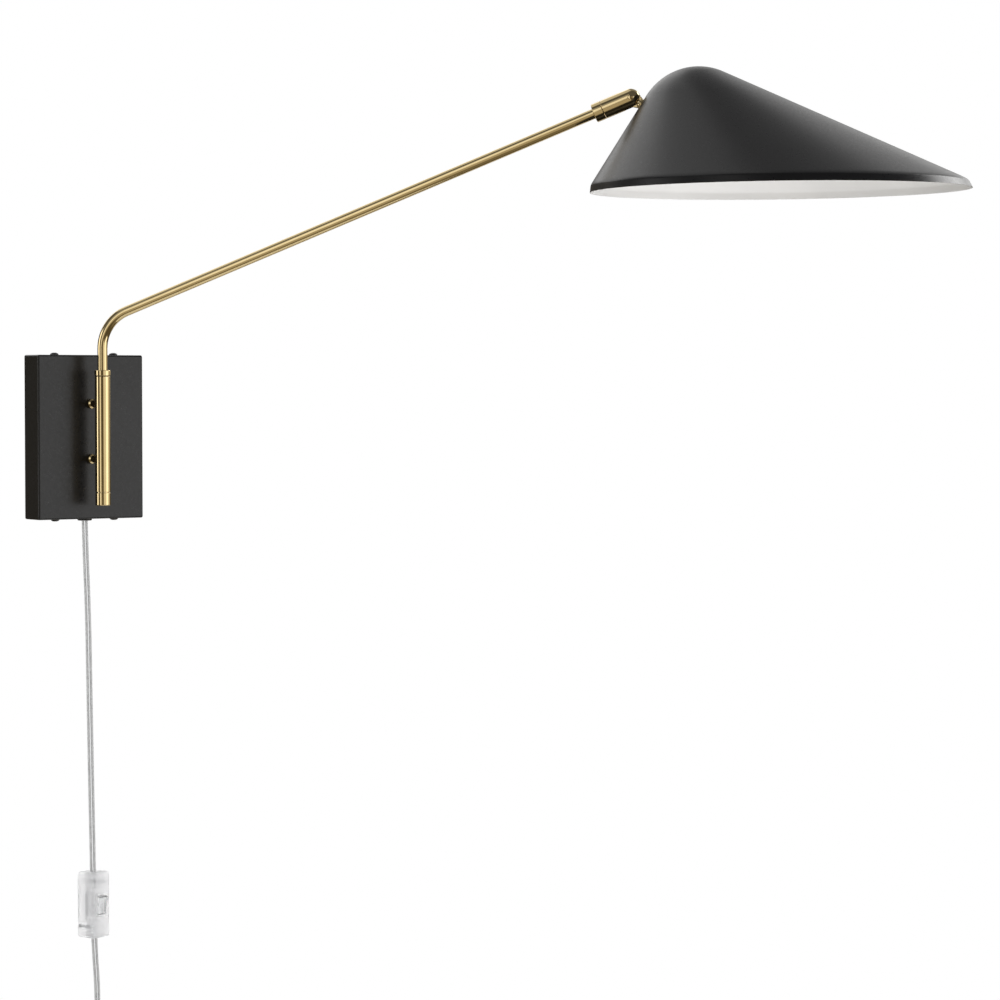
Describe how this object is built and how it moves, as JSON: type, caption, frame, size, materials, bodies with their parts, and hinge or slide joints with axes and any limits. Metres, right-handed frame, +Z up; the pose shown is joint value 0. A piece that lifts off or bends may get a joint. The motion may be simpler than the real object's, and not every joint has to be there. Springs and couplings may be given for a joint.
{
  "type": "swing arm wall sconce",
  "caption": "Plug-in wall sconce: a black backplate, a bent brass arm that swings on an upright sleeve, and an off-centre cone shade on a turning, tilting knuckle.",
  "frame": {"origin": "centre of the back face, on the wall", "axes": "+Y into the wall, +X right along the wall, +Z up; the arm rests 45 degrees out from the wall, towards +X"},
  "size_m": [0.7199, 0.7177, 1.104],
  "materials": {
    "black_powder": "satin powder coat",
    "white_enamel": "satin enamel, the shade's inside",
    "satin_brass": "satin, lacquered",
    "contact_brass": "bright",
    "zinc_steel": "zinc plated",
    "black_nylon": "satin moulded nylon",
    "white_nylon": "moulded nylon",
    "wire_white": "smooth insulation",
    "clear_cord": "clear jacket over silver conductors",
    "clear_plastic": "clear moulded polycarbonate",
    "plug_plastic": "clear moulded vinyl",
    "tie_plastic": "plastic strip",
    "phenolic": "moulded phenolic",
    "bulb_cap": "plain",
    "bulb_glass": "frosted"
  },
  "bodies": {
    "wall_mount": {"wall_bracket": "zinc_steel", "backplate_cover": "black_powder", "cover_screws": "black_powder", "cord_bushing": "black_nylon", "upper_post": "satin_brass", "lower_post": "satin_brass", "post_washers": "zinc_steel", "post_nuts": "zinc_steel", "pivot_sleeve": "satin_brass", "sleeve_top_bush": "black_nylon", "sleeve_bottom_bush": "black_nylon", "sleeve_end_cap": "satin_brass", "supply_lead": "wire_white", "terminal_block": "white_nylon", "lamp_lead": "wire_white", "cord_upper": "clear_cord", "switch_back_shell": "clear_plastic", "switch_front_shell": "clear_plastic", "switch_contacts": "contact_brass", "switch_leads": "clear_cord", "switch_screws": "zinc_steel", "cord_lower": "clear_cord", "cord_hank": "clear_cord", "hank_tie": "tie_plastic", "cord_tail": "clear_cord", "plug_body": "plug_plastic", "plug_blades": "contact_brass"},
    "arm": {"arm_tube": "satin_brass", "arm_wire": "wire_white", "arm_collar": "satin_brass", "arm_clip": "zinc_steel", "knuckle_collar": "satin_brass"},
    "knuckle": {"knuckle_body": "satin_brass", "knuckle_clip": "zinc_steel", "pivot_pin": "satin_brass", "knuckle_wire": "wire_white"},
    "shade": {"swivel_tongue": "satin_brass", "seat_washer": "satin_brass", "shade_shell": "black_powder", "stem_nut": "zinc_steel", "lampholder_cap": "phenolic", "lampholder_body": "phenolic", "lampholder_shell": "contact_brass", "lampholder_contact": "contact_brass", "shade_wire": "wire_white", "bulb_base": "bulb_cap", "bulb_globe": "bulb_glass"},
    "rocker": {"switch_rocker": "clear_plastic"}
  },
  "joints": [
    {"name": "arm_swing", "type": "hinge", "parent": "wall_mount", "child": "arm", "pos_m": [0, -0.0563, 0], "axis": [0, 0, 1], "range_deg": [-120, 30]},
    {"name": "knuckle_roll", "type": "hinge", "parent": "arm", "child": "knuckle", "pos_m": [0.37685, -0.43315, 0.32906], "axis": [0.6565, -0.6565, 0.3714], "range_deg": [-90, 90]},
    {"name": "shade_tilt", "type": "hinge", "parent": "knuckle", "child": "shade", "pos_m": [0.37685, -0.43315, 0.32906], "axis": [-0.7071, -0.7071, 0], "range_deg": [-35, 50]},
    {"name": "rocker_press", "type": "hinge", "parent": "wall_mount", "child": "rocker", "pos_m": [0.01012, -0.02161, -0.4751], "axis": [0.9397, 0.342, 0], "range_deg": [-16, 0]}
  ]
}
